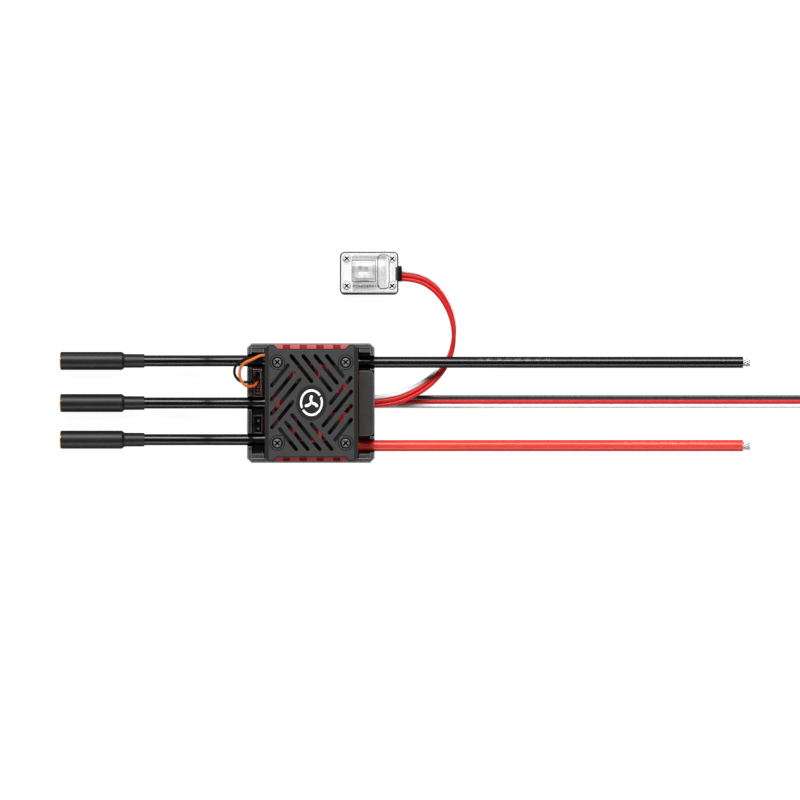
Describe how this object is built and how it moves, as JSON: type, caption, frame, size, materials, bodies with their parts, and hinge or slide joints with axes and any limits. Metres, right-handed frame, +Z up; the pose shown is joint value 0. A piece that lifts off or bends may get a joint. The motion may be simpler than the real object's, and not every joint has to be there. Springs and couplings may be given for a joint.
{
  "type": "electronic speed controller",
  "caption": "Brushless motor speed controller: finned case under a slotted fan guard, with sleeved motor sockets, bare power leads, a receiver lead and a boxed switch.",
  "frame": {"origin": "centre of the case's underside", "axes": "+X towards the power leads, +Y towards the switch box, +Z up through the fan"},
  "size_m": [0.2593, 0.0674, 0.0292],
  "materials": {
    "case_black": "satin",
    "guard_grey": "matte",
    "cover_grey": "matte",
    "badge_black": "satin",
    "mark_white": "printed",
    "anodised_red": "anodised",
    "fan_black": "satin",
    "magnet_grey": "sintered",
    "copper": "wound",
    "bronze": "sintered",
    "shaft_steel": "ground",
    "screw_black": "blackened",
    "screw_steel": "nickel plated",
    "board_green": "solder mask",
    "chip_black": "moulded",
    "can_silver": "drawn can",
    "pad_grey": "soft",
    "gold": "gold plated",
    "tin": "tinned",
    "plug_black": "moulded",
    "silicone_black": "glossy silicone",
    "silicone_red": "glossy silicone",
    "core_black": "vinyl",
    "core_red": "vinyl",
    "core_white": "vinyl",
    "lead_orange": "vinyl",
    "lead_brown": "vinyl",
    "sleeve_black": "heat-shrink",
    "box_clear": "clear moulded",
    "button_clear": "frosted",
    "board_white": "solder mask",
    "led_lens": "moulded",
    "grommet_black": "moulded"
  },
  "bodies": {
    "controller": {"badge_emblem": "mark_white", "base_shell": "case_black", "board_header": "plug_black", "bullet_a": "gold", "bullet_b": "gold", "bullet_c": "gold", "cable_clamp": "plug_black", "capacitors": "can_silver", "case_screws": "screw_black", "control_parts": "chip_black", "control_pcb": "board_green", "fan_bearing": "bronze", "fan_frame": "fan_black", "fan_guard": "guard_grey", "fan_header": "plug_black", "fan_lead_black": "lead_brown", "fan_lead_orange": "lead_orange", "fan_pins": "gold", "fan_plug": "plug_black", "fan_stator": "copper", "guard_badge": "badge_black", "guard_screws": "screw_black", "heatsink": "anodised_red", "mosfets": "chip_black", "motor_wire_a": "silicone_black", "motor_wire_b": "silicone_black", "motor_wire_c": "silicone_black", "port_housing": "plug_black", "port_pins": "gold", "power_pcb": "board_green", "power_tip_black": "tin", "power_tip_red": "tin", "power_wire_black": "silicone_black", "power_wire_red": "silicone_red", "receiver_black": "core_black", "receiver_contacts": "gold", "receiver_plug": "plug_black", "receiver_red": "core_red", "receiver_white": "core_white", "shrink_a": "sleeve_black", "shrink_b": "sleeve_black", "shrink_c": "sleeve_black", "solder_pads": "tin", "switch_base": "box_clear", "switch_cover": "box_clear", "switch_grommet": "grommet_black", "switch_leds": "led_lens", "switch_pcb": "board_white", "switch_red_mid": "core_red", "switch_red_outer": "core_red", "switch_screws": "screw_steel", "switch_tact": "board_white", "switch_white": "core_white", "terminal_cover": "cover_grey", "thermal_pad": "pad_grey"},
    "rotor": {"fan_rotor": "fan_black", "fan_magnet": "magnet_grey", "fan_shaft": "shaft_steel"},
    "button": {"switch_button": "button_clear"}
  },
  "joints": [
    {"name": "fan_spin", "type": "hinge", "parent": "controller", "child": "rotor", "pos_m": [0.0003, 0.0001, 0.0235], "axis": [0, 0, 1], "continuous": true},
    {"name": "button_press", "type": "slide", "parent": "controller", "child": "button", "axis": [0, 0, -1], "range_m": [0, 0.0004], "stiffness_N_per_m": 1500}
  ]
}
